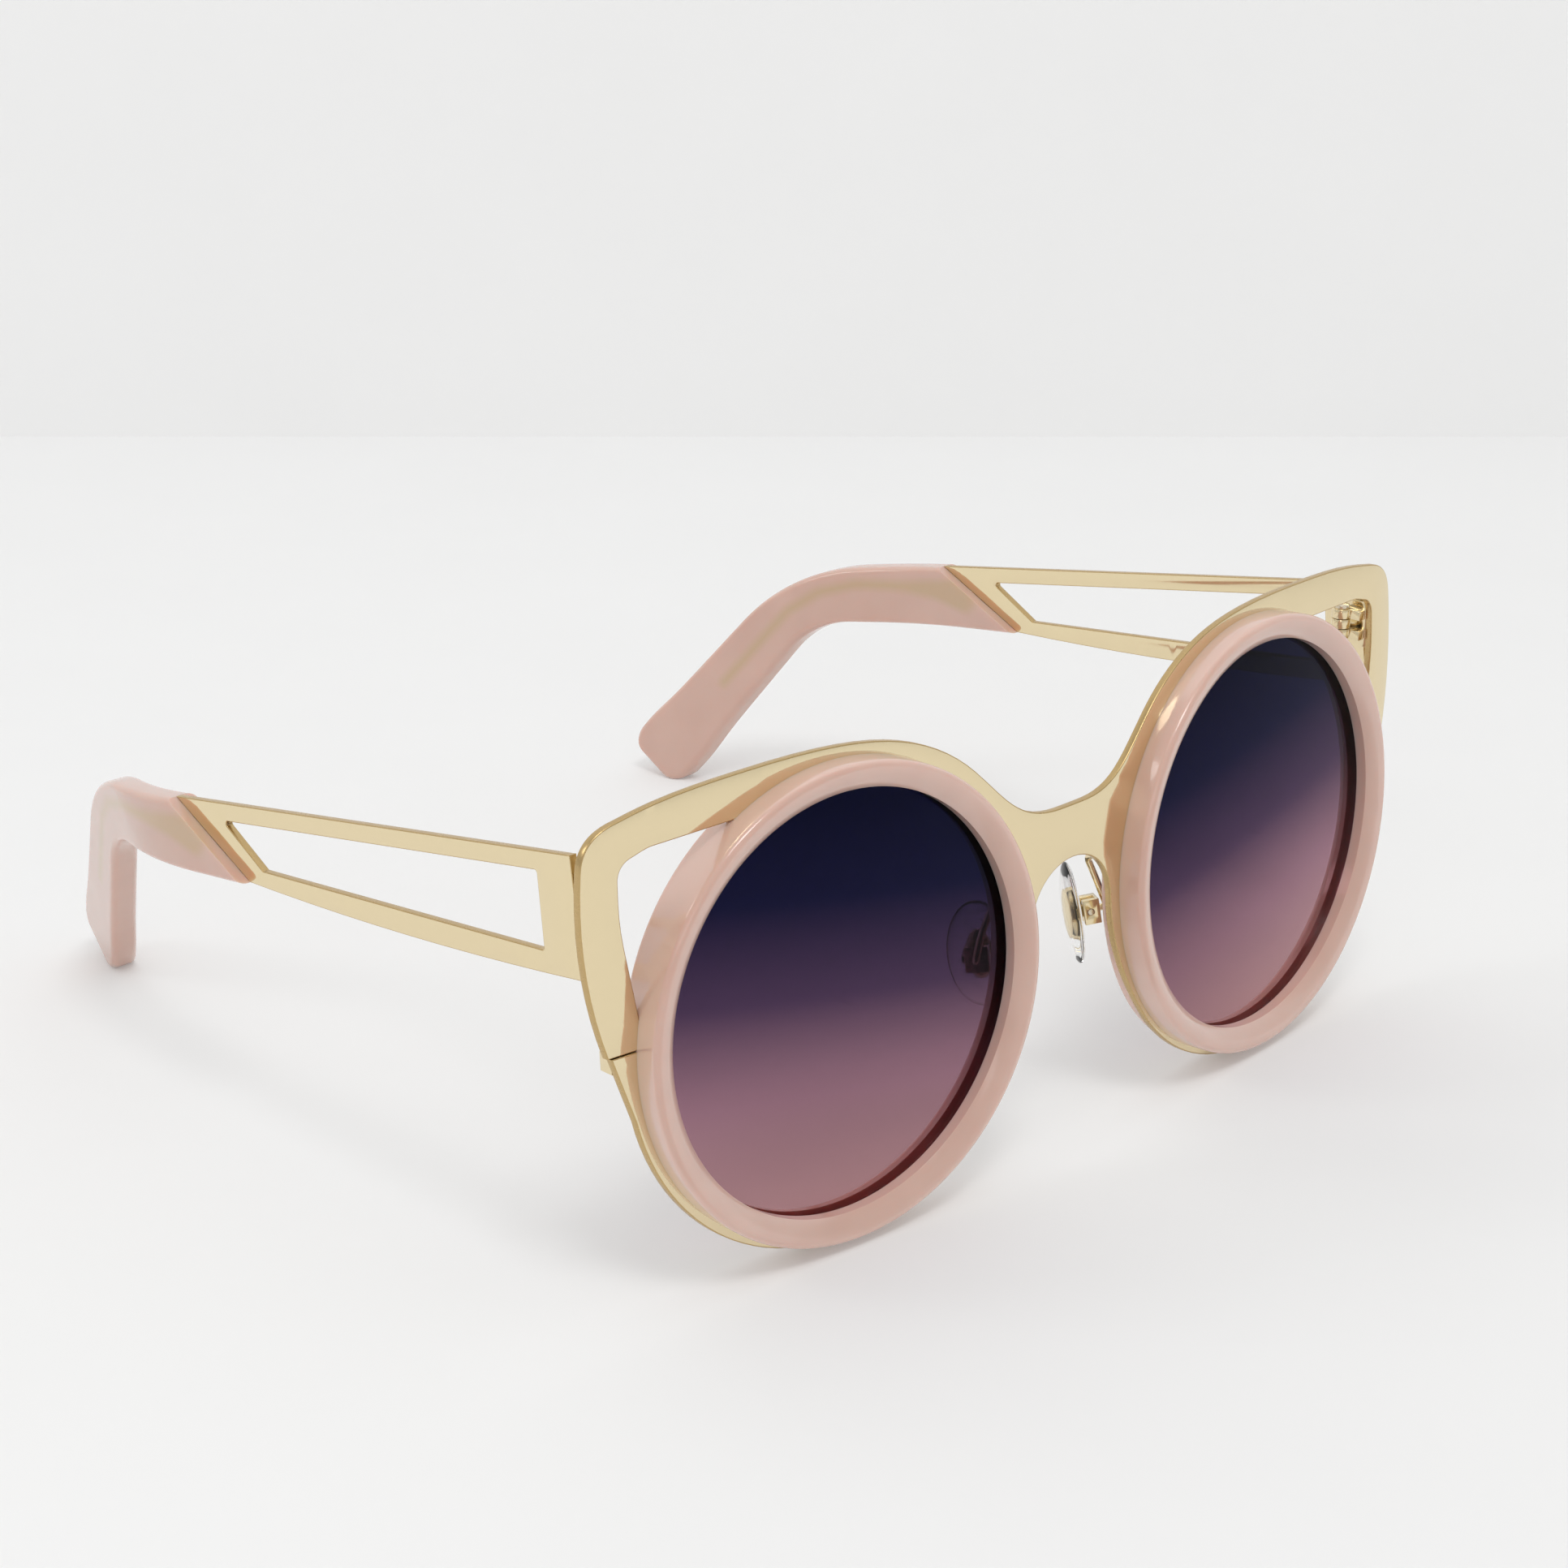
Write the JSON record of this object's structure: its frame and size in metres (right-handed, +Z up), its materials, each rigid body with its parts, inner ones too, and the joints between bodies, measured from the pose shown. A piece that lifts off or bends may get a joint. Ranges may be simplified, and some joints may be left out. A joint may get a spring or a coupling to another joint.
{
  "type": "sunglasses",
  "caption": "Cat eye sunglasses: polished gold front with raised round rim rings, tinted lenses, slender open temples that fold, and flat drop tips.",
  "frame": {"origin": "middle of the footprint on the ground, with the glasses open and standing on their rims and tips", "axes": "+X to the wearer's left, +Y back along the temples towards the tips, +Z up"},
  "size_m": [0.148, 0.1403, 0.0612],
  "materials": {
    "gold_plate": "polished pale gold",
    "rim_acetate": "glossy translucent pink",
    "tip_acetate": "glossy translucent pink",
    "tinted_lens": "graduated tint, dark at the top",
    "wire_metal": "polished pale gold",
    "gold_fitting": "polished pale gold",
    "screw_metal": "satin",
    "clear_pad": "clear and soft"
  },
  "bodies": {
    "front": {"front_plate": "gold_plate", "left_rim_ring": "rim_acetate", "left_lens": "tinted_lens", "left_front_hinge_leaf": "gold_fitting", "left_hinge_screw": "screw_metal", "left_rim_lock_upper": "gold_fitting", "left_rim_lock_lower": "gold_fitting", "left_rim_lock_screw": "screw_metal", "left_pad_arm": "gold_fitting", "left_pad_box": "gold_fitting", "left_pad_screw": "screw_metal", "right_rim_ring": "rim_acetate", "right_lens": "tinted_lens", "right_front_hinge_leaf": "gold_fitting", "right_hinge_screw": "screw_metal", "right_rim_lock_upper": "gold_fitting", "right_rim_lock_lower": "gold_fitting", "right_rim_lock_screw": "screw_metal", "right_pad_arm": "gold_fitting", "right_pad_box": "gold_fitting", "right_pad_screw": "screw_metal"},
    "left_temple": {"left_temple_plate": "gold_plate", "left_temple_tip": "tip_acetate", "left_core_wire": "wire_metal", "left_temple_hinge_leaf": "gold_fitting"},
    "right_temple": {"right_temple_plate": "gold_plate", "right_temple_tip": "tip_acetate", "right_core_wire": "wire_metal", "right_temple_hinge_leaf": "gold_fitting"},
    "left_pad_body": {"left_nose_pad": "clear_pad", "left_pad_insert": "gold_fitting"},
    "right_pad_body": {"right_nose_pad": "clear_pad", "right_pad_insert": "gold_fitting"}
  },
  "joints": [
    {"name": "left_temple_fold", "type": "hinge", "parent": "front", "child": "left_temple", "pos_m": [0.0679, -0.0558, 0.0505], "axis": [0, 0, 1], "range_deg": [0, 84]},
    {"name": "right_temple_fold", "type": "hinge", "parent": "front", "child": "right_temple", "pos_m": [-0.0679, -0.0558, 0.0505], "axis": [0, 0, -1], "range_deg": [0, 72]},
    {"name": "left_pad_rock", "type": "hinge", "parent": "front", "child": "left_pad_body", "pos_m": [0.0107, -0.06039, 0.02609], "axis": [0.5839, 0.8001, -0.1378], "range_deg": [-8, 8]},
    {"name": "right_pad_rock", "type": "hinge", "parent": "front", "child": "right_pad_body", "pos_m": [-0.0107, -0.06039, 0.02609], "axis": [-0.5839, 0.8001, -0.1378], "range_deg": [-8, 8]}
  ]
}
